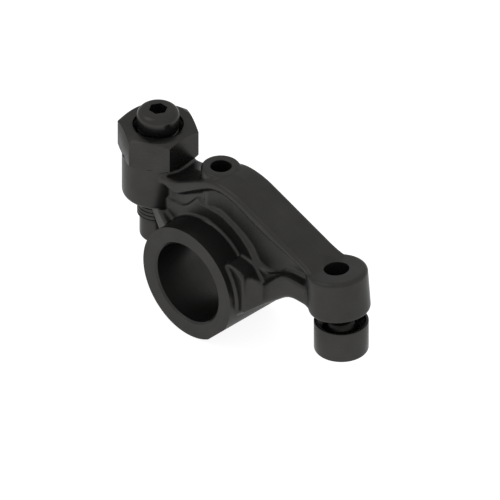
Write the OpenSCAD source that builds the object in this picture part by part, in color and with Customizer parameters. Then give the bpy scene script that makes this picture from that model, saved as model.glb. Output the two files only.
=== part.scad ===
// Rocker arm for a shaft-mounted valve train, with an adjusting screw at one end
// and a swivel foot on a ball pin at the other.
// Millimetres. The origin is on the shaft axis, halfway along the hub.
// X runs along the arm to the valve end, Y along the shaft, Z up.

/* [Hub] */
// Shaft bore diameter
bore_d = 20.1; // [18:0.1:22]
// Outer diameter of the hub
hub_d = 28.5; // [27:0.5:33]
// Length of the hub along the shaft
hub_len = 22.5; // [20:0.5:30]
// Chamfer at each mouth of the bore
bore_chamfer = 0.5; // [0.2:0.1:1]
// Depth of the clearance flat under the hub
flat_depth = 0.5; // [0.2:0.05:1.5]
// How far the shoulder where the lower flange joins stands out from the hub
shoulder_out = 1.95; // [1:0.05:3]
// Width of that shoulder along the shaft
shoulder_w = 18.1; // [14:0.1:19]

/* [Arm] */
// Width of the flanges along the shaft
flange_w = 11; // [9:0.5:14]
// Thickness of the top flange
flange_t = 2.8; // [2:0.1:4]
// Web thickness at the hub
web_t = 7.5; // [5:0.1:8]
// Web thickness at the valve end
web_tip_t = 5; // [3:0.1:6]
// Thickness of the pad of web round the hub
pad_t = 8.7; // [8:0.1:10]
// Height of the arm's crest above the shaft axis
crest_z = 27.9; // [26:0.1:32]
// Distance from the shaft axis to the crest along the arm
crest_x = 5.1; // [3:0.1:8]
// Draft of the forging from its parting plane, in degrees
draft = 5; // [3:1:8]
// Rounding of the forging's edges
edge_r = 1.2; // [0.6:0.1:1.6]

/* [Pushrod end] */
// Distance from the shaft axis back to the adjusting screw
screw_x = 20.6; // [20.5:0.1:26]
// Boss diameter
screw_boss_d = 16.9; // [15:0.1:20]
// Height of the boss's spot face above the shaft axis
screw_boss_z = 21.9; // [20:0.1:26]
// Length of the boss
screw_boss_h = 11.1; // [8:0.1:14]

/* [Valve end] */
// Distance from the shaft axis to the foot
foot_x = 39.5; // [36:0.5:46]
// Height of the ball's centre above the shaft axis
ball_z = 1.3; // [0:0.1:3]
// Lean of the ball pin and its boss, in degrees
pin_lean = 5.5; // [0:0.5:8]
// Boss diameter
valve_boss_d = 14.6; // [13:0.1:17]
// Height of the boss's top above the ball's centre, along the pin
valve_boss_z = 16.3; // [15:0.1:20]
// Length of the boss
valve_boss_h = 10.8; // [9:0.1:13]

/* [Oil supply] */
// Diameter of the boss on the crest
oil_boss_d = 9.3; // [8:0.1:12]
// How far that boss stands above the crest
oil_boss_rise = 0; // [-0.5:0.1:2]
// Diameter of the drilling down to the shaft
oil_hole_d = 4.9; // [3:0.1:6]

/* [Adjusting screw and nut] */
// Thread diameter of the adjusting screw
screw_d = 10; // [8:0.5:12]
// Overall length of the screw
screw_len = 35.8; // [30:0.1:44]
// Height of the screw's top above the spot face
screw_stand = 11.9; // [9:0.1:14]
// Step from the thread down to the plain nose, on the radius
nose_step = 0.65; // [0.2:0.05:1.5]
// Length of the plain nose
nose_len = 6.5; // [4:0.1:9]
// Width across flats of the socket in the screw's top
socket_af = 3.9; // [3:0.1:5]
// Width across flats of the lock nut
nut_af = 16.8; // [13:0.1:19]
// Height of the lock nut
nut_h = 7.6; // [5:0.1:10]
// Width of the nut's countersink round the screw
nut_sink_w = 1; // [0.5:0.1:2]

/* [Ball pin and foot] */
// Diameter of the pin's shank
pin_d = 6; // [5:0.1:7]
// Diameter of the ball
ball_d = 8; // [7:0.1:9]
// Diameter of the neck above the ball
neck_d = 4.8; // [4:0.1:5.5]
// Depth of the pin's head below the boss's top
pin_sink = 3; // [1:0.1:4]
// Foot diameter
foot_d = 12.8; // [12:0.1:15]
// Foot height
foot_h = 7.9; // [7:0.1:10]
// Metal under the ball
foot_floor = 1.2; // [0.8:0.1:2]
// Wall of the foot's rim
foot_rim = 0.6; // [0.4:0.1:1]

/* [Fits] */
// Radial clearance of the screw in the boss and in the nut
thread_clear = 0.05; // [0.02:0.01:0.1]
// Radial clearance of the ball in its socket
ball_clear = 0.05; // [0.02:0.01:0.1]

/* [Hidden] */
eps = 0.01;
hub_r = hub_d / 2;
flat_reach = hub_r - flat_depth;
shoulder_reach = hub_r + shoulder_out;
oil_boss_z = crest_z + oil_boss_rise;
nose_d = screw_d - 2 * nose_step;
nut_sink_d = screw_d + 2 * nut_sink_w;
// Rounding of the flanges' inner edges and of their roots on the web
inner_r = 0.6;
root_r = 1.2;
// The flanges stand out from the web even where they are made narrow
flange_half = max(flange_w / 2, web_t / 2 + inner_r + 0.3);
// The screw always clears the hub
screw_at = max(screw_x, hub_r + screw_d / 2 + 1.2);
screw_boss_r = screw_boss_d / 2;
valve_boss_r = valve_boss_d / 2;
screw_boss_low = screw_boss_z - screw_boss_h;
// Where the pin's axis meets the top and the bottom of its boss
valve_top = [foot_x - valve_boss_z * sin(pin_lean), ball_z + valve_boss_z * cos(pin_lean)];
valve_low = [foot_x - (valve_boss_z - valve_boss_h) * sin(pin_lean),
             ball_z + (valve_boss_z - valve_boss_h) * cos(pin_lean)];
nut_z = screw_boss_z;
// Edge roundings of the screw's nose and top, and of the foot
nose_r = 1.4;
dome_r = 1.87;
foot_r = 0.5;
// Depth and turn of the socket, and of the nut's countersink
socket_deep = 4;
socket_turn = 0;
nut_sink = 0.9;
nut_turn = 1;
// Where the neck leaves the ball, and how far round the ball the socket reaches above its middle
neck_angle = 90 - asin(neck_d / ball_d);
neck_top = 5.6;
lip_angle = 12;
screw_top = screw_boss_z + screw_stand;
foot_low = ball_z - ball_d / 2 - ball_clear - foot_floor;
// Where the flange meets the screw's boss, just below its spot face
flange_low_z = screw_boss_z - 0.95;
saddle_x = -screw_at + screw_boss_r + 1.8;
// Where the top flange begins inside the screw's boss, and where both flanges end inside the valve's
tail_x = -screw_at + 3.5;
tip_x = valve_top[0] + 0.6;
// The roof runs straight from just past the crest to the valve's boss
roof_from = [crest_x + 3.4, crest_z - 0.1];
roof_to = [valve_top[0] - 3.6, valve_top[1] + 0.75];
// Corner under the arm where the belly turns level towards the valve
belly_slope = 0.8;
belly_x = hub_r - 3.25;
elbow_x = foot_x - 12.2;
elbow_z = valve_low[1] - 0.3;
lower_top_z = valve_low[1] + 5.5;
// Top of the shoulder on the hub
shoulder_z = 9.6;
// The rib runs from inside the screw's boss down to the hub
rib_from = -screw_at + 0.6;
rib_to = -hub_r + 3.75;
boss_edge = 1.7;
valve_flare = 0.6;
pad_r = hub_r + 4.25;
// Size of the pad's foot against its face
pad_bevel = 1.1;
// Length of the rounding at the bottom of the screw's boss
boss_low_r = 0.8;

// Unit vector at an angle in degrees
function dir(a) = [cos(a), sin(a)];

// Unit vector from a towards b
function towards(a, b) = (b - a) / norm(b - a);

// Points of a smooth bend at corner q, for t along each side, coming from a and leaving to c
function bend_at(q, t, a, c, n) =
  let (u = q + t * towards(q, a), v = q + t * towards(q, c))
    [for (k = [0:n]) let (s = k / n) (1 - s) * (1 - s) * u + 2 * s * (1 - s) * q + s * s * v];

// A closed outline whose corners are bent smooth: each corner is x, z and the length of its bend
function bend(p, n = 5) = [
  for (i = [0:len(p) - 1])
    let (q = [p[i][0], p[i][1]],
         a = p[(i + len(p) - 1) % len(p)],
         c = p[(i + 1) % len(p)])
      each p[i][2] == 0 ? [q] : bend_at(q, p[i][2], [a[0], a[1]], [c[0], c[1]], n)
];

// The same for an open line, as a table of heights over x
function line(p, n = 4) = [
  for (i = [0:len(p) - 1])
    let (q = [p[i][0], p[i][1]])
      each i == 0 || i == len(p) - 1 || p[i][2] == 0 ? [q]
        : bend_at(q, p[i][2], [p[i - 1][0], p[i - 1][1]], [p[i + 1][0], p[i + 1][1]], n)
];

// n numbers from a, evenly spaced on the way to b
function steps(a, b, n) = [for (k = [0:n - 1]) a + (b - a) * k / n];

// Height of the roof line at x
function roof_z(x) =
  roof_from[1] + (x - roof_from[0]) * (roof_to[1] - roof_from[1]) / (roof_to[0] - roof_from[0]);

// Stands a drawing in the XZ plane up as a plate of width w, centred on the shaft's length
module along_shaft(w)
  rotate([90, 0, 0])
    linear_extrude(w, center = true)
      children();

// The crest line of the top flange, at the parting plane
top_ridge = line([
  [tail_x, flange_low_z, 0],
  [saddle_x, flange_low_z + 0.3, 2.6],
  [crest_x - 3, crest_z, 3],
  [roof_from[0], roof_from[1], 3.4],
  [roof_to[0], roof_to[1], 0],
  [tip_x, valve_top[1] - 0.85, 0]
]);
// The top flange's lower edge, at its face
under_mid = roof_from[0] + 0.43 * (roof_to[0] - roof_from[0]);
top_under = line([
  [tail_x, flange_low_z - 2, 0],
  [-screw_at + screw_boss_r - 2.6, flange_low_z - 2.1, 1],
  [saddle_x + 0.2, flange_low_z - 0.9 - flange_t, 1.8],
  [crest_x - 2.3, crest_z + 0.2 - flange_t, 3],
  [roof_from[0] - 0.2, crest_z - 0.1 - flange_t, 3],
  [under_mid, roof_z(under_mid) - flange_t - 0.74, 5],
  [roof_to[0] - 0.75, roof_z(roof_to[0] - 0.75) - 1.85, 0],
  [tip_x, valve_top[1] - 2.6, 0]
]);
// Half width of the top flange, flared into both bosses
top_half = line([
  [tail_x, flange_half + 1.4, 0],
  [-screw_at + screw_boss_r - 2.7, flange_half + 0.7, 0],
  [-screw_at + screw_boss_r - 1.4, flange_half, 0.9],
  [foot_x - 6.4, flange_half, 2.4],
  [foot_x - 4, flange_half + valve_flare, 0],
  [tip_x, flange_half + valve_flare, 0]
]);
// The belly of the arm, at the parting plane
belly_ridge = line([
  [belly_x, elbow_z - (elbow_x - belly_x) * belly_slope, 0],
  [elbow_x, elbow_z, 2.6],
  [foot_x - 1, elbow_z, 0]
]);
// The lower flange's upper edge, at its face
lower_over = line([
  [belly_x, shoulder_z + 0.2, 0],
  [shoulder_reach - 1, shoulder_z - 0.2, 1.6],
  [shoulder_reach + 2.4, shoulder_z - 3.75, 1.4],
  [elbow_x - 2.2, lower_top_z, 2.6],
  [foot_x - 1, lower_top_z, 0]
]);
// Half width of the lower flange, flared out to the shoulder on the hub
lower_half = concat(
  [[belly_x, shoulder_w / 2]],
  [for (k = [0:5]) let (a = 90 * k / 5)
    [shoulder_reach + 3 - 3 * cos(a), flange_half + (shoulder_w / 2 - flange_half) * (1 - sin(a))]],
  line([[foot_x - 8, flange_half, 0], [foot_x - 6.3, flange_half, 1], [foot_x - 4, flange_half + 1, 0],
        [foot_x - 1, flange_half + 1, 0]])
);
// The rib between the hub and the screw's boss: heights and half widths from the boss down to the hub
rib_ridge = [[rib_from, screw_boss_low - 1], [rib_to, 0.3]];
rib_over = [[rib_from, screw_boss_low + 1.8], [rib_from + 3.6, screw_boss_low + 0.9],
            [rib_to - 2.3, screw_boss_low - 1.1], [rib_to, screw_boss_low - 2.4]];
rib_half = [[rib_from, 4.5], [rib_from + 1.5, 4.6], [rib_to - 2.7, 6.2], [rib_to, 7]];

// Half thickness of the web, thinner towards the valve
web_from = crest_x + 2.9;
web_to = foot_x - 6.5;
function web_half(x) = lookup(x, [[web_from, web_t / 2], [web_to, web_tip_t / 2]]);

// Half of a flange's section: drafted ridge t, rounded outer edge, inner edge, and the root on the web.
// The inner edge u never comes so near the ridge that the two roundings would cross.
// up is 1 where the ridge is on top and -1 where it is underneath.
function half_section(t, inner, w, k, up) =
  let (e = t - up * (w - edge_r) * tan(draft),
       least = e - up * (edge_r + inner_r + 0.2),
       u = up > 0 ? min(inner, least) : max(inner, least),
       r = u - up * (w - k) * tan(draft),
       root = max(0.05, min(root_r, w - inner_r - k)))
    concat(
      [for (a = [90:-30:0]) [w - edge_r + edge_r * cos(a), e - up * edge_r * (1 - sin(a))]],
      [for (a = [0:45:90]) [w - inner_r + inner_r * cos(a), u + up * inner_r * (1 - sin(a))]],
      [for (a = [90:-30:0]) [k + root - root * cos(a), r - up * root * (1 - sin(a))]]
    );

function section(x, t, u, w, up) =
  let (h = half_section(t, u, w, web_half(x) - 0.06, up),
       last = h[len(h) - 1][1],
       whole = concat([[0, t]], h, [[0, last]], [for (i = [len(h) - 1:-1:0]) [-h[i][0], h[i][1]]]))
    [for (p = whole) [x, p[0], p[1]]];

// A flange as a loft of such sections through every x in xs
module flange_bar(xs, ridge, inner, half, up) {
  rings = [for (x = xs) section(x, lookup(x, ridge), lookup(x, inner), lookup(x, half), up)];
  m = len(rings[0]);
  n = len(rings);
  fwd = [for (i = [0:n - 2]) for (j = [0:m - 1]) let (j2 = (j + 1) % m)
    each [[i * m + j, i * m + j2, (i + 1) * m + j2], [i * m + j, (i + 1) * m + j2, (i + 1) * m + j]]];
  ends = [[for (j = [m - 1:-1:0]) j], [for (j = [0:m - 1]) (n - 1) * m + j]];
  all = concat(fwd, ends);
  polyhedron([for (r = rings) each r],
             up > 0 ? all : [for (f = all) [for (i = [len(f) - 1:-1:0]) f[i]]]);
}

module top_flange()
  flange_bar(concat(steps(tail_x, saddle_x + 2.2, 9), steps(saddle_x + 2.2, crest_x - 5.5, 3),
                    steps(crest_x - 5.5, roof_from[0] + 3, 9), steps(roof_from[0] + 3, foot_x - 8.6, 6),
                    steps(foot_x - 8.6, foot_x - 4, 4), [foot_x - 3.4, valve_top[0] + 0.5]),
             top_ridge, top_under, top_half, 1);

module lower_flange()
  flange_bar(concat(steps(belly_x + 0.1, shoulder_reach, 4),
                    [for (k = [0:5]) shoulder_reach + 3 - 3 * cos(18 * k)],
                    steps(shoulder_reach + 3.6, elbow_x + 2.4, 8), steps(elbow_x + 2.4, foot_x - 2.5, 5),
                    [foot_x - 2.5]),
             belly_ridge, lower_over, lower_half, -1);

module rib()
  flange_bar(concat(steps(rib_from, rib_to, 5), [rib_to - 0.1]), rib_ridge, rib_over, rib_half, -1);

module web()
  intersection() {
    along_shaft(web_t + 2)
      polygon(concat(
        [for (q = top_ridge) q - [0, 1.7]],
        [for (i = [len(belly_ridge) - 1:-1:0]) belly_ridge[i] + [0, 1.7]],
        [[0, -hub_r * 0.6], [rib_to, 1.5], [tail_x, screw_boss_low - 0.1]]
      ));
    translate([0, 0, -hub_r])
      linear_extrude(hub_r + crest_z + 10)
        polygon([[-screw_at, -web_t / 2], [web_from, -web_t / 2],
                 [web_to, -web_tip_t / 2], [foot_x, -web_tip_t / 2],
                 [foot_x, web_tip_t / 2], [web_to, web_tip_t / 2],
                 [web_from, web_t / 2], [-screw_at, web_t / 2]]);
  }

// Outline of the thick web round the hub, at its face
module pad_outline()
  polygon(bend(concat(
    [[-screw_at, screw_boss_low + 0.6, 0], [-screw_at + screw_boss_r + 0.4, pad_r - 2.4, 1.4],
     [-hub_r * 0.56, hub_r - 0.55, 1.8], [-3.4, pad_r + 0.4, 0.8]],
    [for (a = [94:-10:44]) concat(pad_r * dir(a), [0])],
    [[shoulder_reach - 0.6, shoulder_z - 0.3, 1.6], [shoulder_reach + 2.8, shoulder_z - 0.9, 1.5],
     [elbow_x - 3.3, lower_top_z - 0.9, 0], [elbow_x - 3.3, lower_top_z - 4.3, 0], [hub_r, 0, 0],
     [0, -hub_r * 0.7, 0], [-hub_r * 0.8, 0, 0], [rib_to - 2.7, 5.5, 0],
     [tail_x - 1.4, screw_boss_low - 0.6, 0]]
  )));

// The pad's faces are bevelled down to the web: the outline shrinks towards the hub's axis as it rises
module pad()
  for (side = [0, 180])
    rotate([90, 0, side])
      mirror([side / 180, 0, 0])
        translate([0, 0, web_t / 2 - 1])
          linear_extrude(pad_t / 2 - web_t / 2 + 1, scale = 1 / pad_bevel)
            scale(pad_bevel)
              pad_outline();

module screw_boss()
  translate([-screw_at, 0, screw_boss_low])
    rotate_extrude($fn = 96)
      polygon(concat(
        [[0, 0]],
        [for (k = [0:3]) [screw_boss_r - boss_low_r + boss_low_r * sin(k * 30),
                          boss_low_r - boss_low_r * cos(k * 30)]],
        [[screw_boss_r, screw_boss_h], [0, screw_boss_h]]
      ));

module valve_boss()
  translate([foot_x, 0, ball_z])
    rotate([0, -pin_lean, 0])
      rotate_extrude($fn = 96)
        polygon(concat(
          [[0, valve_boss_z - valve_boss_h]],
          [for (k = [0:3]) [valve_boss_r - 0.8 + 0.8 * sin(k * 30),
                            valve_boss_z - valve_boss_h + 0.8 - 0.8 * cos(k * 30)]],
          [for (k = [0:5]) [valve_boss_r - boss_edge + boss_edge * cos(k * 18),
                            valve_boss_z - boss_edge + boss_edge * sin(k * 18)]],
          [[0, valve_boss_z]]
        ));

module oil_boss()
  rotate_extrude($fn = 64)
    polygon([[0, 0], [oil_boss_d / 2, 0], [oil_boss_d / 2, oil_boss_z - 0.6],
             [oil_boss_d / 2 - 0.18, oil_boss_z - 0.18], [oil_boss_d / 2 - 0.6, oil_boss_z],
             [0, oil_boss_z]]);

module rocker_body() color("dimgray") {
  difference() {
    union() {
      top_flange();
      lower_flange();
      rib();
      web();
      pad();
      rotate([90, 0, 0]) cylinder(h = hub_len, r = hub_r, center = true, $fn = 120);
      screw_boss();
      valve_boss();
      oil_boss();
    }
    rotate([90, 0, 0]) cylinder(h = hub_len + 2, d = bore_d, center = true, $fn = 120);
    for (side = [0, 180])
      rotate([90, 0, side])
        translate([0, 0, hub_len / 2 - bore_chamfer])
          cylinder(h = bore_chamfer + eps, r1 = bore_d / 2, r2 = bore_d / 2 + bore_chamfer + eps, $fn = 120);
    rotate([0, 45, 0])
      translate([flat_reach, -hub_len / 2 - 1, -hub_r])
        cube([hub_r, hub_len + 2, 2 * hub_r]);
    translate([-screw_at, 0, 0]) cylinder(h = screw_boss_z + 1, r = screw_d / 2 + thread_clear, $fn = 96);
    cylinder(h = oil_boss_z + 1, d = oil_hole_d, $fn = 64);
    translate([foot_x, 0, ball_z])
      rotate([0, -pin_lean, 0])
        cylinder(h = valve_boss_z + 1, d = pin_d, $fn = 64);
  }
}

// Half profile of the screw, from its nose up
screw_profile = concat(
  [[0, 0]],
  [for (k = [0:4]) [nose_d / 2 - nose_r + nose_r * sin(22.5 * k), nose_r - nose_r * cos(22.5 * k)]],
  [[nose_d / 2, nose_len], [screw_d / 2 - 0.3, nose_len], [screw_d / 2, nose_len + 0.3]],
  [for (k = [0:4]) [screw_d / 2 - dome_r + dome_r * cos(22.5 * k),
                    screw_len - dome_r + dome_r * sin(22.5 * k)]],
  [[0, screw_len]]
);

module adjusting_screw() color("dimgray")
  translate([-screw_at, 0, screw_top - screw_len])
    difference() {
      rotate_extrude($fn = 72) polygon(screw_profile);
      translate([0, 0, screw_len - socket_deep])
        rotate([0, 0, socket_turn])
          cylinder(h = socket_deep + 1, d = socket_af / cos(30), $fn = 6);
      translate([0, 0, screw_len - socket_deep - 1])
        cylinder(h = 1 + eps, d1 = 0.4, d2 = socket_af * 0.8, $fn = 32);
    }

// The hexagon is trimmed by a cone at the top, and the seat underneath is a plain washer face
module lock_nut() color("dimgray")
  translate([-screw_at, 0, nut_z])
    difference() {
      intersection() {
        rotate([0, 0, 30 + nut_turn]) cylinder(h = nut_h, d = nut_af / cos(30), $fn = 6);
        rotate_extrude($fn = 96)
          polygon([[0, 0], [nut_af / 2 + 0.5, 0], [nut_af / 2 + 1.3, 0.45],
                   [nut_af / 2 + 1.3, nut_h - 0.85], [nut_af / 2 - 0.15, nut_h], [0, nut_h]]);
      }
      translate([0, 0, -1]) cylinder(h = nut_h + 2, r = screw_d / 2 + thread_clear, $fn = 72);
      translate([0, 0, nut_h - nut_sink]) cylinder(h = nut_sink + eps, d = nut_sink_d, $fn = 72);
      translate([0, 0, nut_h - nut_sink - 0.8])
        cylinder(h = 0.8, r1 = screw_d / 2 + thread_clear, d2 = nut_sink_d, $fn = 72);
      translate([0, 0, -eps])
        cylinder(h = 0.5, r1 = screw_d / 2 + thread_clear + 0.5, r2 = screw_d / 2 + thread_clear, $fn = 72);
    }

// Ball, neck and shank turned in one profile, along the pin's own axis
module ball_pin() color("gray")
  translate([foot_x, 0, ball_z])
    rotate([0, -pin_lean, 0])
      rotate_extrude($fn = 72)
        polygon(concat(
          [[0, -ball_d / 2]],
          [for (a = [-80:10:neck_angle]) ball_d / 2 * dir(a)],
          [ball_d / 2 * dir(neck_angle), [neck_d / 2, neck_top], [pin_d / 2, neck_top + 0.6],
           [pin_d / 2, valve_boss_z - pin_sink - 0.5], [pin_d / 2 - 0.5, valve_boss_z - pin_sink],
           [0, valve_boss_z - pin_sink]]
        ));

module swivel_foot() color("dimgray")
  translate([foot_x, 0, foot_low])
    rotate_extrude($fn = 96)
      polygon(concat(
        [[0, 0]],
        [for (k = [0:3]) [foot_d / 2 - foot_r + foot_r * sin(30 * k), foot_r - foot_r * cos(30 * k)]],
        [[foot_d / 2, foot_h - 0.25], [foot_d / 2 - 0.2, foot_h], [foot_d / 2 - foot_rim, foot_h],
         [foot_d / 2 - foot_rim - 0.25, foot_h - 0.5]],
        [for (a = [lip_angle:-8:-84]) [0, ball_z - foot_low] + (ball_d / 2 + ball_clear) * dir(a)],
        [[0, ball_z - foot_low - ball_d / 2 - ball_clear]]
      ));

rocker_body();
adjusting_screw();
lock_nut();
ball_pin();
swivel_foot();
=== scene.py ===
# %% [markdown]
# # A rocker arm in Blender
# A rocker arm is a small forged lever that rocks on a shaft and pushes a valve open.
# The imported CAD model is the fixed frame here: it says where each piece is, and it is never changed.
# Blender adds what a forging really shows: soft fillets in its inside corners, crisp machined faces
# where a cutter has been, a rolled thread, and dark metal finishes with a grain of their own.

# %% Load the frame
import bpy
import bmesh
import math
import numpy as np
from mathutils import Matrix, Vector


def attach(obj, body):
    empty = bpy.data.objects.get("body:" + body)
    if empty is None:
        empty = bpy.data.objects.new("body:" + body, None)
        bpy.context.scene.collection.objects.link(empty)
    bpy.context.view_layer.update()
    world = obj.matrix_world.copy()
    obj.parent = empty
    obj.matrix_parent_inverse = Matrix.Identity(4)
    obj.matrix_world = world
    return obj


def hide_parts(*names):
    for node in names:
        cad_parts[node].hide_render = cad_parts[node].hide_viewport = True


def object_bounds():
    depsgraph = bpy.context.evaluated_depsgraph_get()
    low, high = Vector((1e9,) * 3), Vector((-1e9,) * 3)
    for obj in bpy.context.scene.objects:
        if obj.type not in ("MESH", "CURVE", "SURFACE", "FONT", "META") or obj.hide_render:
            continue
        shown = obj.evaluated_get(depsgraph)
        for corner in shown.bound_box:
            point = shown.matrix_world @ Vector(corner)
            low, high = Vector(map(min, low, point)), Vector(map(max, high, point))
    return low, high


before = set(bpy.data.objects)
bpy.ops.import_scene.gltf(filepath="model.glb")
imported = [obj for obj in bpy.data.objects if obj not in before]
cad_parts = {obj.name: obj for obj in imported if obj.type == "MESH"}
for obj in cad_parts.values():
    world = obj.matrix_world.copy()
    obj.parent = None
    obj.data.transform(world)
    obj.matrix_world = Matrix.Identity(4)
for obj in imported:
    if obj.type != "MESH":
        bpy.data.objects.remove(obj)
cad_low, cad_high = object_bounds()
mm = 0.001


def in_mm(lengths):
    return [round(length / mm, 3) for length in lengths]


print("CAD nodes:", sorted(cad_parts))
print("CAD box in mm:", in_mm(cad_low), in_mm(cad_high))

# %% [markdown]
# The camera comes first, so that every later step can be judged from it.
# The picture is an isometric one: parallel rays, 45 degrees round and 35.26 degrees up.
# With parallel rays the size in the picture is set by the camera's scale and not by its distance.

# %% Camera
turn, rise = math.radians(45), math.atan(1 / math.sqrt(2))
level_part = math.cos(rise)
towards_viewer = Vector((math.sin(turn) * level_part, -math.cos(turn) * level_part, math.sin(rise)))
looked_at = Vector((3.48, 6.07, 2.60)) * mm
picture_width, camera_distance = 116.0 * mm, 1.0
camera = bpy.data.objects.new("Camera", bpy.data.cameras.new("Camera"))
bpy.context.scene.collection.objects.link(camera)
camera.data.type = "ORTHO"
camera.data.ortho_scale = picture_width
camera.data.clip_start, camera.data.clip_end = 0.01, 10
camera.rotation_mode = "QUATERNION"
camera.location = looked_at + towards_viewer * camera_distance
camera.rotation_quaternion = (-towards_viewer).to_track_quat("-Z", "Y")
bpy.context.scene.camera = camera
print("camera looks from", [round(v, 3) for v in towards_viewer])

# %% [markdown]
# These are the main sizes of the arm, in metres, as the CAD source has them.
# The arm lies in the XZ plane: the shaft runs along Y through the origin, and Z is up.

# %% Sizes of the arm
hub_r, hub_half, bore_r = 14.25 * mm, 11.25 * mm, 10.05 * mm
flat_reach = 13.75 * mm
screw_x, screw_boss_r, spot_face_z = -20.6 * mm, 8.45 * mm, 21.9 * mm
oil_boss_r, oil_boss_z, oil_hole_r = 4.65 * mm, 27.9 * mm, 2.45 * mm
foot_x, ball_z, lean = 39.5 * mm, 1.3 * mm, math.radians(5.5)
valve_boss_r, valve_boss_high, pin_r = 7.3 * mm, 16.3 * mm, 3.0 * mm
thread_hole_r = 5.05 * mm
shaft_axis, upright, pin_axis = (0, 1, 0), (0, 0, 1), (-math.sin(lean), 0, math.cos(lean))
on_screw, on_foot, on_ball = (screw_x, 0, 0), (foot_x, 0, 0), (foot_x, 0, ball_z)
print("hub", round(2 * hub_r / mm, 1), "mm across, bore", round(2 * bore_r / mm, 1))

# %% [markdown]
# A few small helpers keep the later cells short.
# An operator acts on whatever is selected, so each helper deselects everything first and
# then selects just the object it works on, as one would by hand.

# %% Helpers for selecting and applying
def only(piece):
    bpy.ops.object.select_all(action="DESELECT")
    piece.select_set(True)
    bpy.context.view_layer.objects.active = piece


def new_piece(name, mesh):
    piece = bpy.data.objects.new(name, mesh)
    bpy.context.scene.collection.objects.link(piece)
    return piece


def edit_all(piece):
    """Enters edit mode on this piece alone, with all of its mesh selected."""
    only(piece)
    bpy.ops.object.mode_set(mode="EDIT")
    bpy.ops.mesh.select_all(action="SELECT")


def leave_edit():
    bpy.ops.object.mode_set(mode="OBJECT")


def settle(piece):
    """Moves the object's place and turn into its mesh, so that the object sits at the origin."""
    only(piece)
    bpy.ops.object.transform_apply(location=True, rotation=True, scale=True)


def finish_with(piece, kind, **settings):
    """Adds one modifier and applies it."""
    only(piece)
    modifier = piece.modifiers.new(kind, kind)
    for name, value in settings.items():
        setattr(modifier, name, value)
    bpy.ops.object.modifier_apply(modifier=modifier.name)


def combine(piece, other, operation):
    """Cuts other out of piece, joins it on, or keeps what they share; other is used up."""
    finish_with(piece, "BOOLEAN", operation=operation, solver="MANIFOLD", object=other)
    bpy.data.objects.remove(other)


# %% Helpers that measure a piece
def triangles(piece):
    return sum(len(face.vertices) - 2 for face in piece.data.polygons)


def open_edges(piece):
    """How many edges don't have exactly two faces; a closed solid has none."""
    check = bmesh.new()
    check.from_mesh(piece.data)
    count = sum(1 for edge in check.edges if not edge.is_manifold)
    check.free()
    return count


# %% Helpers for rods and plates
def rod(name, radius, low, high, turned=(0, 0, 0), at=(0, 0, 0), sides=160, top_radius=None):
    """A round bar or a cone from low to high along its own Z, then turned and moved."""
    bpy.ops.object.select_all(action="DESELECT")
    top = radius if top_radius is None else top_radius
    bpy.ops.mesh.primitive_cone_add(vertices=sides, radius1=radius, radius2=top, depth=high - low)
    bar = bpy.context.object
    bar.name = name
    bar.data.transform(Matrix.Translation((0, 0, (high + low) / 2)))
    bar.rotation_euler = turned
    bar.location = at
    settle(bar)
    return bar


def along_shaft(name, radius, low, high, **more):
    """The same bar laid along the shaft: its own Z becomes +Y."""
    return rod(name, radius, low, high, turned=(-math.pi / 2, 0, 0), **more)


def along_pin(name, radius, low, high, **more):
    """The same bar on the leaning axis of the ball pin, measured from the ball's centre."""
    return rod(name, radius, low, high, turned=(0, -lean, 0), at=on_ball, **more)


def plate(name, corners, side, near, far):
    """A plate with these XZ corners on one side of the arm, from y = near to y = far, all in mm."""
    low, high = sorted((side * near, side * far))
    face = bpy.data.meshes.new(name)
    face.from_pydata([(x * mm, low * mm, z * mm) for x, z in corners], [], [list(range(len(corners)))])
    piece = new_piece(name, face)
    edit_all(piece)
    bpy.ops.mesh.extrude_region_move(TRANSFORM_OT_translate={"value": (0, (high - low) * mm, 0)})
    bpy.ops.mesh.select_all(action="SELECT")
    bpy.ops.mesh.normals_make_consistent(inside=False)
    leave_edit()
    return piece


# %% [markdown]
# ## The forging
# The arm is one forging: a hub, two bosses and an I-beam. Its CAD solid has every size right, so
# the visible forging starts as a copy of it. The CAD mesh is loose triangles, and they are merged first.

# %% Copy the forging
forging = new_piece("forging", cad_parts["rocker_body"].data.copy())
edit_all(forging)
bpy.ops.mesh.remove_doubles(threshold=1e-6)
leave_edit()
print("forging copied:", triangles(forging), "triangles, open edges", open_edges(forging))

# %% [markdown]
# Over the hub the web is thicker, and this pad ends in a ledge. The CAD solid is plain there.
# On the real arm the oil boss stands on the ledge as a slimmer stem, and towards the screw the ledge
# runs down in a soft wave. Both could be sculpted, but plates and bars cut them more exactly.
# This comes before the fillets, so that the new corners get their fillets too.

# %% Stand the oil boss on the ledge
web_face, pad_face, outside = 3.75, 4.35, 6
pad_foot_z, ledge_z = 14.6, 18.2
stem_r, boss_skin = 4.15, 0.57
in_front = [(-2.6, pad_foot_z), (2.6, pad_foot_z), (2.6, ledge_z), (-2.6, ledge_z)]
over_ledge = [(-2.5, ledge_z), (3.2, ledge_z), (3.2, 22.5), (-2.5, 20.0)]
up_to_flange = [(-2.9, 19.5), (3.0, 21.5), (3.0, 25.2), (-2.9, 22.0)]
for side in (-1, 1):
    combine(forging, plate("front_cut", in_front, side, pad_face, outside), "DIFFERENCE")
    around = plate("around", over_ledge, side, web_face, outside)
    combine(around, rod("stem", stem_r * mm, 10 * mm, 30 * mm), "DIFFERENCE")
    combine(forging, around, "DIFFERENCE")
    under_flange = plate("under_flange", up_to_flange, side, web_face, outside)
    combine(under_flange, rod("tube", (stem_r + boss_skin) * mm, 10 * mm, 30 * mm), "INTERSECT")
    combine(under_flange, rod("stem", stem_r * mm, 9 * mm, 31 * mm), "DIFFERENCE")
    combine(forging, under_flange, "DIFFERENCE")
print("stem cut:", triangles(forging), "triangles")

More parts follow.
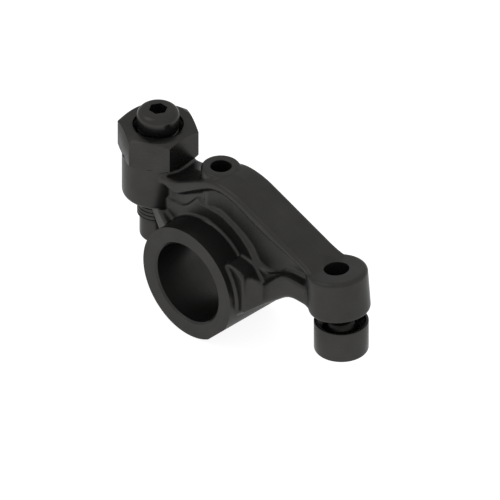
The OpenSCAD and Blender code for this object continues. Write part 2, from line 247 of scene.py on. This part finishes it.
# %% Smooth the ledge towards the screw
inside_web = 3
wave = [(-14.2, 13.9), (-10.6, 14.3), (-8.6, 14.45), (-7.2, 15.1), (-6.1, 15.95)]
below_wave = [(-7.2, 13.4), (-9.4, 13.4), *wave[2:], (-5.5, 14.6)]
above_wave = [*wave[:3], (-8.6, 15.0), (-10.6, 17.1), (-14.2, 17.2)]
for side in (-1, 1):
    combine(forging, plate("fill", below_wave, side, inside_web, pad_face), "UNION")
    combine(forging, plate("cut", above_wave, side, web_face, outside), "DIFFERENCE")
print("ledge smoothed:", triangles(forging), "triangles")

# %% [markdown]
# A forging comes out of its die with a generous radius in every inside corner, because hot metal
# will not flow into a sharp one. Rounding hundreds of lofted edges one by one would be slow and
# fragile. So a second copy, the blank, is closed instead: it is swelled by the fillet's radius,
# remeshed, and shrunk again. Its outside edges come back where they were, and its inside corners
# keep a fillet. The blank's holes are plugged first, and its hub and screw boss are left long, so
# that facing them later leaves a clean rim.

# %% Plug the holes of the blank
blank = new_piece("blank", forging.data.copy())
spare = 0.2 * mm
plugs = [
    along_shaft("hub_blank", hub_r, -hub_half - 1 * mm, hub_half + 1 * mm),
    rod("screw_boss_blank", screw_boss_r, 12 * mm, spot_face_z + 1.2 * mm, at=on_screw),
    rod("oil_plug", oil_hole_r + spare, 9 * mm, oil_boss_z - spare),
    along_pin("pin_plug", pin_r + spare, 6 * mm, valve_boss_high - 0.6 * mm),
]
only(blank)
for plug in plugs:
    plug.select_set(True)
bpy.ops.object.join()
print("blank joined from", len(plugs) + 1, "closed shells")

# %% Close the inside corners
voxel, fillet, hide = 0.20 * mm, 0.28 * mm, 0.02 * mm
finish_with(blank, "REMESH", mode="VOXEL", voxel_size=voxel)
finish_with(blank, "DISPLACE", direction="NORMAL", mid_level=0, strength=fillet)
finish_with(blank, "REMESH", mode="VOXEL", voxel_size=voxel)
finish_with(blank, "SMOOTH", factor=0.5, iterations=2)
finish_with(blank, "DISPLACE", direction="NORMAL", mid_level=0, strength=-fillet - hide)
finish_with(blank, "REMESH", mode="VOXEL", voxel_size=voxel)
finish_with(blank, "SMOOTH", factor=0.5, iterations=3)
print("closed blank:", len(blank.data.polygons), "faces")

# %% [markdown]
# The blank has been shrunk a hair more than it was swelled, so when it is joined to the forging
# only its fillets stand out of the crisp shape. The boss over the ball pin also gets a rounded cap.
# A voxel remesh then makes one even skin of it all, which shades without streaks.

# %% Lay the fillets over the crisp shape
combine(forging, blank, "UNION")
proud, cap_round = 0.003 * mm, 1.0 * mm
cap = rod("cap", valve_boss_r + proud, 13 * mm, valve_boss_high + proud)
finish_with(cap, "BEVEL", width=cap_round, segments=8,
            limit_method="ANGLE", angle_limit=math.radians(60))
cap.data.transform(Matrix.Translation(on_ball) @ Matrix.Rotation(-lean, 4, "Y"))
combine(forging, cap, "UNION")
print("with its fillets:", triangles(forging), "triangles")

# %% Even out the skin
finish_with(forging, "REMESH", mode="VOXEL", voxel_size=0.23 * mm)
finish_with(forging, "SMOOTH", factor=0.5, iterations=2)
print("evened out:", triangles(forging), "triangles")

# %% [markdown]
# Smoothing leaves round bosses a hair out of round. Points that already lie within 0.06 mm of a
# boss's true radius are moved onto it. Then the flat places give up some of their triangles.

# %% True up the round bosses
def points_of(piece):
    flat = np.empty(len(piece.data.vertices) * 3)
    piece.data.vertices.foreach_get("co", flat)
    return flat.reshape(-1, 3)


def put_points(piece, points):
    piece.data.vertices.foreach_set("co", points.reshape(-1))
    piece.data.update()


def true_up_round(points, centre, axis, radius, low, high, within=0.06 * mm):
    """Moves points near a cylinder onto it, between two heights along its axis."""
    axis = np.array(axis) / np.linalg.norm(axis)
    arm = points - np.array(centre)
    height = arm @ axis
    out = arm - height[:, None] * axis
    reach = np.linalg.norm(out, axis=1)
    near = (abs(reach - radius) < within) & (height > low) & (height < high)
    points[near] += out[near] * (radius / reach[near] - 1)[:, None]
    return int(near.sum())


points = points_of(forging)
trued = [
    true_up_round(points, (0, 0, 0), shaft_axis, hub_r, -12 * mm, 12 * mm),
    true_up_round(points, on_screw, upright, screw_boss_r, 11.8 * mm, 23 * mm),
    true_up_round(points, (0, 0, 0), upright, oil_boss_r, 24 * mm, oil_boss_z - 0.6 * mm),
    true_up_round(points, on_ball, pin_axis, valve_boss_r, 6.4 * mm, 15.2 * mm),
]
put_points(forging, points)
finish_with(forging, "DECIMATE", decimate_type="COLLAPSE", ratio=0.68)
print("points trued up on the four bosses:", trued, "and left:", triangles(forging), "triangles")

# %% [markdown]
# Now the machining, in the order a shop would do it. The hub's ends are faced, the screw's boss gets
# its spot face, the clearance flat is milled under the hub, and the holes are bored with a small
# chamfer at each mouth. Each cutter is a plain bar, cone or block, taken away with a boolean. It
# cuts a hair deeper than the CAD face, so that none of the forging's skin is left standing.

# %% Face the hub's ends
bite = 0.003 * mm
for side in (-1, 1):
    edit_all(forging)
    bpy.ops.mesh.bisect(plane_co=(0, side * (hub_half - bite), 0), plane_no=(0, side, 0),
                        use_fill=True, clear_outer=True, threshold=1e-7)
    leave_edit()
print("hub faced to", round(forging.dimensions.y / mm, 3), "mm")

# %% Spot face and clearance flat
facer_r = screw_boss_r + 1.1 * mm
facer = rod("spot_facer", facer_r, spot_face_z - bite, spot_face_z + 5 * mm, at=on_screw)
combine(forging, facer, "DIFFERENCE")
bpy.ops.object.select_all(action="DESELECT")
bpy.ops.mesh.primitive_cube_add(size=1)
mill = bpy.context.object
mill.name = "mill"
mill.dimensions = (hub_r, 2 * hub_half + 2 * mm, 2 * hub_r)
mill.location = Vector((1, 0, -1)).normalized() * (flat_reach - bite + hub_r / 2)
mill.rotation_euler = (0, math.radians(45), 0)
settle(mill)
combine(forging, mill, "DIFFERENCE")
print("after facing and milling:", len(forging.data.polygons), "faces")

# %% Bore and drill
chamfer, past = 0.5 * mm, 0.02 * mm
cutters = [along_shaft("borer", bore_r + bite, -14 * mm, 14 * mm, sides=256)]
for side in (-1, 1):
    cutters.append(rod("chamferer", bore_r, hub_half - chamfer - bite, hub_half + past,
                       top_radius=bore_r + chamfer + bite + past,
                       turned=(-side * math.pi / 2, 0, 0), sides=256))
cutters += [
    rod("tapping_drill", thread_hole_r + bite, 0, 25 * mm, at=on_screw),
    rod("oil_drill", oil_hole_r + bite, 0, 30 * mm),
    rod("oil_mouth", oil_hole_r, oil_boss_z - 0.2 * mm, oil_boss_z + 0.1 * mm,
        top_radius=oil_hole_r + 0.3 * mm),
    along_pin("pin_drill", pin_r + bite, 4 * mm, 20 * mm),
    along_pin("pin_mouth", pin_r, valve_boss_high, valve_boss_high + 2 * mm,
              top_radius=pin_r + 2.2 * mm),
]
for cutter in cutters:
    combine(forging, cutter, "DIFFERENCE")
print("forging:", triangles(forging), "triangles, box in mm", in_mm(forging.dimensions))

# %% [markdown]
# Smooth shading hides the facets of the round skin, and edges sharper than 32 degrees stay crisp.
# Weighted normals let the large machined faces keep their flat shading right up to those edges.

# %% Smooth shading with crisp machined edges
only(forging)
bpy.ops.object.shade_smooth_by_angle(angle=math.radians(32))
finish_with(forging, "WEIGHTED_NORMAL", mode="FACE_AREA", weight=50, keep_sharp=True)
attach(forging, "rocker")
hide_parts("rocker_body")
print("forging shaded, open edges", open_edges(forging))

# %% [markdown]
# ## Turned pieces
# The screw, the foot and the nut's inside are turned on a lathe. A turned piece is drawn as half of
# its outline and spun round its axis. Each corner of the outline can carry a small radius, as every
# real turned edge does.

# %% Outline with rounded corners
def rounded(corners, steps=4):
    """Points of an open outline; each corner is (radius from axis, height, rounding), all in mm."""
    most_of_a_side = 0.49
    line = []
    for i, (r, z, bend) in enumerate(corners):
        here = Vector((r, z))
        if bend == 0 or i in (0, len(corners) - 1):
            line.append(here)
            continue
        back = Vector(corners[i - 1][:2]) - here
        ahead = Vector(corners[i + 1][:2]) - here
        half = back.angle(ahead) / 2
        cut = min(bend / math.tan(half), back.length * most_of_a_side, ahead.length * most_of_a_side)
        reach = cut * math.tan(half)
        inwards = (back.normalized() + ahead.normalized()).normalized()
        middle = here + inwards * (reach / math.sin(half))
        first = here + back.normalized() * cut - middle
        last = here + ahead.normalized() * cut - middle
        sweep = first.angle_signed(last)
        for k in range(steps + 1):
            line.append(middle + Matrix.Rotation(-sweep * k / steps, 2) @ first)
    return [(p.x * mm, p.y * mm) for p in line]


def lathe(name, outline, at=(0, 0, 0), sides=128):
    """Spins a half outline, from axis to axis, into a closed solid, and moves it to its place."""
    shape = bpy.data.meshes.new(name)
    steps = [(i, i + 1) for i in range(len(outline) - 1)]
    shape.from_pydata([(r, 0, z) for r, z in outline], steps, [])
    piece = new_piece(name, shape)
    edit_all(piece)
    bpy.ops.mesh.spin(steps=sides, angle=2 * math.pi, center=(0, 0, 0), axis=(0, 0, 1))
    bpy.ops.mesh.select_all(action="SELECT")
    bpy.ops.mesh.remove_doubles(threshold=1e-7)
    bpy.ops.mesh.normals_make_consistent(inside=False)
    leave_edit()
    piece.data.transform(Matrix.Translation(at))
    return piece


# %% [markdown]
# ## The adjusting screw
# The screw has a plain domed head with a hexagon socket, a fine rolled thread, and a plain nose.
# A rolled thread has a flat crest and a flat root. Its ridge is one small four-sided outline,
# carried round and up by a Screw modifier, with its two ends closed and then joined to the core.

# %% Core of the screw
screw_low, screw_high, screw_r, nose_r = -2.0, 33.8, 5.0, 4.35
thread_low, thread_high, pitch, root_r = 4.7, 29.0, 1.0, 4.74
screw = lathe("adjuster", rounded([
    (0, screw_low, 0), (nose_r, screw_low, 1.4), (nose_r, thread_low - 0.2, 0.1),
    (root_r, thread_low, 0.05), (root_r, thread_high, 0.1), (screw_r, thread_high + 0.3, 0.1),
    (screw_r, screw_high, 1.87), (0, screw_high, 0)], steps=8))
print("core:", triangles(screw), "triangles, open edges", open_edges(screw))

# %% Rolled thread
sunk_r, crest_r, start_z = 4.6, 4.92, thread_low - 0.6
ridge_outline = [(sunk_r, -0.46), (crest_r, -0.26), (crest_r, 0.26), (sunk_r, 0.46)]
ridge_mesh = bpy.data.meshes.new("ridge")
ridge_mesh.from_pydata([(r * mm, 0, (z + start_z) * mm) for r, z in ridge_outline],
                       [(0, 1), (1, 2), (2, 3), (3, 0)], [])
ridge = new_piece("ridge", ridge_mesh)
turns = int((thread_high - thread_low) / pitch) + 1
finish_with(ridge, "SCREW", axis="Z", angle=2 * math.pi, screw_offset=pitch * mm,
            iterations=turns, steps=64, use_smooth_shade=False, use_merge_vertices=False)
edit_all(ridge)
bpy.ops.mesh.remove_doubles(threshold=1e-7)
bpy.ops.mesh.select_all(action="DESELECT")
bpy.ops.mesh.select_non_manifold()
bpy.ops.mesh.fill_holes(sides=4)
bpy.ops.mesh.select_all(action="SELECT")
bpy.ops.mesh.normals_make_consistent(inside=False)
leave_edit()
print("ridge:", turns, "turns, open edges", open_edges(ridge))

# %% [markdown]
# The ridge starts and ends beyond the thread, so a sleeve first trims it to length, with a slope
# at its lower end where a real thread runs out. Then the ridge is joined to the core.

# %% Join the thread to the core
sleeve_low, sleeve_high = 4.45, 29.4
sleeve = lathe("sleeve", rounded([
    (0, sleeve_low, 0), (4.5, sleeve_low, 0), (screw_r, sleeve_low + 0.5, 0),
    (screw_r, sleeve_high, 0), (0, sleeve_high, 0)]))
combine(ridge, sleeve, "INTERSECT")
combine(screw, ridge, "UNION")
screw.data.transform(Matrix.Translation(on_screw))
print("screw with its thread:", triangles(screw), "triangles")

# %% Cut the hexagon socket
socket_across, socket_top = 3.9 * mm, screw_high * mm
socket_floor = socket_top - 4.0 * mm
key = rod("key", socket_across / 2 / math.cos(math.pi / 6), socket_floor, socket_top + 1 * mm,
          sides=6, turned=(0, 0, math.radians(30)), at=on_screw)
combine(screw, key, "DIFFERENCE")
drill_point = rod("drill_point", 0.2 * mm, socket_floor - 1 * mm, socket_floor + 0.01 * mm,
                  top_radius=socket_across * 0.4, sides=48, at=on_screw)
combine(screw, drill_point, "DIFFERENCE")
only(screw)
bpy.ops.object.shade_smooth_by_angle(angle=math.radians(28))
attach(screw, "screw")
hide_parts("adjusting_screw")
print("screw:", triangles(screw), "triangles, open edges", open_edges(screw))

# %% [markdown]
# ## The lock nut
# A hexagon bar is parted off and its corners are turned down by a cone, which leaves the curved
# edges that every nut has. A wide countersink stands round the screw. The sharp edges then get a
# very small bevel, because it is the light on that bevel that makes an edge look like metal.

# %% Hexagon and chamfers
nut_low, nut_high, nut_across, nut_turn = 21.9, 29.5, 16.8, math.radians(1)
flat_r, cone_r = nut_across / 2, nut_across / 2 + 1.3
nut = rod("nut", nut_across * mm / 2 / math.cos(math.pi / 6), nut_low * mm, nut_high * mm,
          sides=6, turned=(0, 0, nut_turn), at=on_screw)
cone_outline = rounded([
    (0, nut_low, 0), (flat_r + 0.5, nut_low, 0), (cone_r, nut_low + 0.45, 0),
    (cone_r, nut_high - 0.85, 0), (flat_r - 0.15, nut_high, 0), (0, nut_high, 0)])
combine(nut, lathe("cone", cone_outline, at=on_screw, sides=144), "INTERSECT")
nut_bore_r, mouth_r, sink_r = 5.05, 5.6, 6.0
hole_outline = rounded([
    (0, nut_low - 1, 0), (mouth_r, nut_low - 1, 0), (mouth_r, nut_low, 0),
    (nut_bore_r, nut_low + 0.5, 0), (nut_bore_r, nut_high - 1.7, 0),
    (sink_r, nut_high - 0.9, 0.2), (sink_r, nut_high + 1, 0), (0, nut_high + 1, 0)])
combine(nut, lathe("hole", hole_outline, at=on_screw, sides=144), "DIFFERENCE")
print("nut:", len(nut.data.polygons), "faces, open edges", open_edges(nut))

# %% Break the nut's edges
finish_with(nut, "BEVEL", width=0.13 * mm, segments=2, limit_method="ANGLE",
            angle_limit=math.radians(24), harden_normals=False, use_clamp_overlap=True)
only(nut)
bpy.ops.object.shade_smooth_by_angle(angle=math.radians(30))
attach(nut, "nut")
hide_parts("lock_nut")
print("nut:", triangles(nut), "triangles, box in mm", in_mm(nut.dimensions))

# %% [markdown]
# ## The swivel foot
# The foot is turned too. Its thin rim stands round a dark recess, and the socket for the ball is
# ground into the bottom of that recess. The socket follows the CAD sphere, so the ball still fits.

# %% Turn the foot
foot_low, foot_high, foot_r, rim, socket_r = -3.95, 3.95, 6.4, 0.6, 4.05
ball_high = ball_z / mm
socket = []
for angle in range(12, -88, -5):
    a = math.radians(angle)
    socket.append((socket_r * math.cos(a), ball_high + socket_r * math.sin(a), 0))
foot_outline = [
    (0, foot_low, 0), (foot_r, foot_low, 0.5), (foot_r, foot_high, 0.18),
    (foot_r - rim, foot_high, 0.12), (foot_r - rim - 0.25, foot_high - 0.5, 0.1),
    *socket, (0, ball_high - socket_r, 0)]
foot = lathe("foot", rounded(foot_outline), at=on_foot, sides=144)
only(foot)
bpy.ops.object.shade_smooth_by_angle(angle=math.radians(30))
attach(foot, "foot")
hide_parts("swivel_foot")
print("foot:", triangles(foot), "triangles, open edges", open_edges(foot))

# %% [markdown]
# ## Finishes
# All the metal is dark: a phosphate or oxide finish soaks up most light and shows a soft sheen
# that grows towards the edges of round things. What tells the pieces apart is the grain.
# The forging has the fine orange peel of a shot-blasted die skin, machined faces have fine rings
# left by the tool, and the turned pieces have rings along their length.
# All patterns are read from Object coordinates, in metres, so they stay put on the metal.

# %% Start a finish
warmth = (1.02, 1.0, 0.965)
metallic, facing_sheen = 0.85, 0.1


def grey(level):
    """A dark grey with a touch of warmth, as phosphate and oxide finishes have."""
    return (*[level * part for part in warmth], 1)


def new_finish(name, level, roughness, edge):
    """A dark metal whose sheen grows to edge where it is seen at a slant."""
    finish = bpy.data.materials.new(name)
    finish.use_nodes = True
    tree = finish.node_tree
    shader = tree.nodes["Principled BSDF"]
    shader.inputs["Metallic"].default_value = metallic
    shader.inputs["Specular Tint"].default_value = (edge, edge, edge, 1)
    shader.inputs["Specular IOR Level"].default_value = facing_sheen
    shader.inputs["Base Color"].default_value = grey(level)
    shader.inputs["Roughness"].default_value = roughness
    place = tree.nodes.new("ShaderNodeTexCoord").outputs["Object"]
    return finish, tree, shader, place


# %% Helpers for node trees
def noise(tree, place, size, detail, roughness=0.55):
    """Noise whose lumps are about size metres across; gives its factor."""
    node = tree.nodes.new("ShaderNodeTexNoise")
    node.inputs["Scale"].default_value = 1 / size
    node.inputs["Detail"].default_value = detail
    node.inputs["Roughness"].default_value = roughness
    tree.links.new(place, node.inputs["Vector"])
    return node.outputs["Fac"]


def spread(tree, factor, low, high):
    """Stretches the middle of a noise, where most of it lies, from low to high."""
    node = tree.nodes.new("ShaderNodeMapRange")
    ends = {"From Min": 0.3, "From Max": 0.7, "To Min": low, "To Max": high}
    for name, value in ends.items():
        node.inputs[name].default_value = value
    tree.links.new(factor, node.inputs["Value"])
    return node.outputs["Result"]


def two_tone(tree, factor, dark, light):
    """A grey that goes from dark to light with the factor."""
    node = tree.nodes.new("ShaderNodeMix")
    node.data_type = "RGBA"
    tree.links.new(factor, node.inputs["Factor"])
    node.inputs["A"].default_value = grey(dark)
    node.inputs["B"].default_value = grey(light)
    return node.outputs["Result"]


def calc(tree, kind, a, b):
    """One step of arithmetic; a and b are numbers or outputs of other nodes."""
    node = tree.nodes.new("ShaderNodeMath")
    node.operation = kind
    for socket, value in zip(node.inputs, (a, b)):
        if isinstance(value, (int, float)):
            socket.default_value = value
        else:
            tree.links.new(value, socket)
    return node.outputs["Value"]


def mixed(tree, *parts):
    """The sum of several factors, each times its share."""
    shares = [calc(tree, "MULTIPLY", factor, share) for factor, share in parts]
    total = shares.pop()
    while shares:
        total = calc(tree, "ADD", shares.pop(), total)
    return total


def bump(tree, shader, height, depth):
    node = tree.nodes.new("ShaderNodeBump")
    node.inputs["Distance"].default_value = depth
    node.inputs["Strength"].default_value = 1.0
    tree.links.new(height, node.inputs["Height"])
    tree.links.new(node.outputs["Normal"], shader.inputs["Normal"])


# %% [markdown]
# The die skin: three sizes of noise. The largest makes patches a few millimetres across a little
# lighter and smoother, as handling does. The middle one is the orange peel that shot blasting leaves,
# and the smallest is the sparkle of the phosphate crystals.

# %% Die skin
skin, tree, shader, place = new_finish("die_skin", 0.042, 0.36, edge=0.75)
patches = noise(tree, place, 9 * mm, detail=4)
peel = noise(tree, place, 0.75 * mm, detail=2)
crystals = noise(tree, place, 0.16 * mm, detail=2)
tone = mixed(tree, (patches, 0.65), (crystals, 0.35))
tree.links.new(two_tone(tree, spread(tree, tone, 0, 1), 0.037, 0.051), shader.inputs["Base Color"])
polish = mixed(tree, (patches, 0.5), (peel, 0.5))
tree.links.new(spread(tree, polish, 0.40, 0.30), shader.inputs["Roughness"])
bump(tree, shader, calc(tree, "ADD", peel, calc(tree, "MULTIPLY", crystals, 0.15)), 0.006 * mm)
print("die skin nodes:", len(tree.nodes))

# %% [markdown]
# A turned face: the tool leaves rings about a fifth of a millimetre apart, even but not perfect.
# The height along the axis and the distance from it drive one stretched noise, which gives rings of
# uneven depth. A Mapping node first lays the pattern's own Z along the axis of the piece.

# %% Turned and machined faces
def turned_finish(name, centre, axis, dark, light, smooth, rough,
                  step=0.22 * mm, depth=0.004 * mm, edge=0.65):
    """Rings round an axis through centre: on ends by distance from it, on walls by height along it."""
    finish, tree, shader, place = new_finish(name, light, rough, edge)
    move = tree.nodes.new("ShaderNodeMapping")
    move.vector_type = "TEXTURE"
    move.inputs["Location"].default_value = centre
    move.inputs["Rotation"].default_value = Vector(axis).to_track_quat("Z", "Y").to_euler()
    tree.links.new(place, move.inputs["Vector"])
    apart = tree.nodes.new("ShaderNodeSeparateXYZ")
    tree.links.new(move.outputs["Vector"], apart.inputs["Vector"])
    x, y, z = apart.outputs
    squares = calc(tree, "ADD", calc(tree, "MULTIPLY", x, x), calc(tree, "MULTIPLY", y, y))
    distance = calc(tree, "SQRT", squares, 0)
    ring_place = tree.nodes.new("ShaderNodeCombineXYZ")
    tree.links.new(calc(tree, "ADD", distance, z), ring_place.inputs["X"])
    tree.links.new(calc(tree, "SUBTRACT", distance, z), ring_place.inputs["Y"])
    rings = noise(tree, ring_place.outputs["Vector"], step, detail=2, roughness=0.6)
    clouds = noise(tree, place, 5 * mm, detail=4)
    specks = noise(tree, place, 0.2 * mm, detail=1)
    tone = mixed(tree, (rings, 0.4), (clouds, 0.45), (specks, 0.15))
    tree.links.new(two_tone(tree, spread(tree, tone, 0, 1), dark, light), shader.inputs["Base Color"])
    tree.links.new(spread(tree, tone, rough, smooth), shader.inputs["Roughness"])
    bump(tree, shader, rings, depth)
    return finish


# %% One finish for each machined surface
bored = turned_finish("bored_faces", (0, 0, 0), shaft_axis, 0.036, 0.050, 0.26, 0.34)
spotted = turned_finish("spot_face", on_screw, upright, 0.036, 0.050, 0.26, 0.34)
screw_skin = turned_finish("oxide_screw", on_screw, upright, 0.037, 0.051, 0.22, 0.30, step=0.3 * mm)
nut_skin = turned_finish("oxide_nut", on_screw, upright, 0.038, 0.052, 0.24, 0.32,
                         step=0.35 * mm, depth=0.002 * mm, edge=0.48)
foot_skin = turned_finish("oxide_foot", on_foot, upright, 0.038, 0.052, 0.24, 0.32, edge=0.72)
pin_skin = turned_finish("ground_pin", on_ball, pin_axis, 0.018, 0.026, 0.24, 0.32, depth=0.001 * mm)
print("finishes:", [finish.name for finish in (bored, spotted, screw_skin, nut_skin, foot_skin, pin_skin)])

# %% [markdown]
# The forging has three finishes. Which of its faces were machined is told by their place: the bore,
# its chamfers and the hub's ends lie where the hub's cutters ran, and the spot face and the tapped
# hole lie round the screw.

# %% Put each finish on its faces
forging.data.materials.clear()
for finish in (skin, bored, spotted):
    forging.data.materials.append(finish)
skin_slot, hub_slot, screw_slot = 0, 1, 2
near_face, facing = 0.01 * mm, 0.995
machined = {hub_slot: 0, screw_slot: 0}
for face in forging.data.polygons:
    c, n = face.center, face.normal
    in_bore = math.hypot(c.x, c.z) < bore_r + chamfer + past
    on_end = abs(n.y) > facing and abs(c.y) > hub_half - near_face
    in_hole = math.hypot(c.x - screw_x, c.y) < thread_hole_r + past
    on_spot = n.z > facing and abs(c.z - spot_face_z) < near_face
    face.material_index = skin_slot
    if in_bore or on_end:
        face.material_index = hub_slot
    elif in_hole or on_spot:
        face.material_index = screw_slot
    if face.material_index != skin_slot:
        machined[face.material_index] += 1
for piece, finish in ((screw, screw_skin), (nut, nut_skin), (foot, foot_skin)):
    piece.data.materials.clear()
    piece.data.materials.append(finish)
    for face in piece.data.polygons:
        face.material_index = 0
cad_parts["ball_pin"].material_slots[0].material = pin_skin
print("machined faces on the forging:", machined)

# %% [markdown]
# ## The studio
# A plain white floor and a white surround, with one broad soft lamp. The surround is seen by the
# camera and by reflections at a strength of 1, which is white. The floor adds a little light of its
# own for the same rays, so that it looks white while the soft shadow under the hub stays.

# %% Helpers for what each kind of ray sees
def seen_by(tree, *rays):
    """1 for these kinds of ray and 0 for all others."""
    path = tree.nodes.new("ShaderNodeLightPath")
    total = path.outputs[rays[0]]
    for ray in rays[1:]:
        total = calc(tree, "MAXIMUM", total, path.outputs[ray])
    return total


def plain_shader(tree, kind, **values):
    node = tree.nodes.new("ShaderNode" + kind)
    for name, value in values.items():
        node.inputs[name].default_value = value
    return node.outputs[0]


def choose_by(tree, factor, otherwise, chosen, end):
    """Ends a tree with chosen where the factor is 1, and with otherwise where it is 0."""
    choice = tree.nodes.new("ShaderNodeMixShader")
    out = tree.nodes.new("ShaderNode" + end)
    tree.links.new(factor, choice.inputs["Fac"])
    tree.links.new(otherwise, choice.inputs[1])
    tree.links.new(chosen, choice.inputs[2])
    tree.links.new(choice.outputs["Shader"], out.inputs["Surface"])


# %% Floor
floor_z, floor_r = cad_low.z - 0.1 * mm, 1.2
bpy.ops.object.select_all(action="DESELECT")
bpy.ops.mesh.primitive_circle_add(vertices=96, radius=floor_r, fill_type="NGON", location=(0, 0, floor_z))
floor = bpy.context.object
floor.name = "floor"
settle(floor)
paper = bpy.data.materials.new("paper")
paper.use_nodes = True
tree = paper.node_tree
tree.nodes.clear()
both = tree.nodes.new("ShaderNodeAddShader")
tree.links.new(plain_shader(tree, "BsdfDiffuse", Color=(0.4, 0.4, 0.4, 1)), both.inputs[0])
tree.links.new(plain_shader(tree, "Emission", Strength=0.88), both.inputs[1])
matt = plain_shader(tree, "BsdfDiffuse", Color=(0.8, 0.8, 0.8, 1))
seen = seen_by(tree, "Is Camera Ray", "Is Glossy Ray")
choose_by(tree, seen, matt, both.outputs["Shader"], "OutputMaterial")
floor.data.materials.append(paper)
print("floor at", round(floor_z / mm, 2), "mm")

# %% Surround
world = bpy.data.worlds.new("surround")
bpy.context.scene.world = world
world.use_nodes = True
tree = world.node_tree
tree.nodes.clear()
lighting = plain_shader(tree, "Background", Strength=0.85)
white = plain_shader(tree, "Background", Strength=1.0)
seen = seen_by(tree, "Is Camera Ray", "Is Glossy Ray", "Is Transmission Ray")
choose_by(tree, seen, lighting, white, "OutputWorld")
bpy.context.scene.view_settings.view_transform = "Standard"
print("surround nodes:", len(tree.nodes))

# %% Lamp
lamp = bpy.data.objects.new("soft_lamp", bpy.data.lights.new("soft_lamp", "AREA"))
bpy.context.scene.collection.objects.link(lamp)
lamp.data.shape = "DISK"
lamp.data.size = 0.5
lamp.data.energy = 0.35
lamp.location = (-0.25, -0.35, 0.6)
lamp.rotation_mode = "QUATERNION"
lamp.rotation_quaternion = Vector(lamp.location).to_track_quat("Z", "Y")
print("lamp", round(lamp.data.energy, 2), "W")
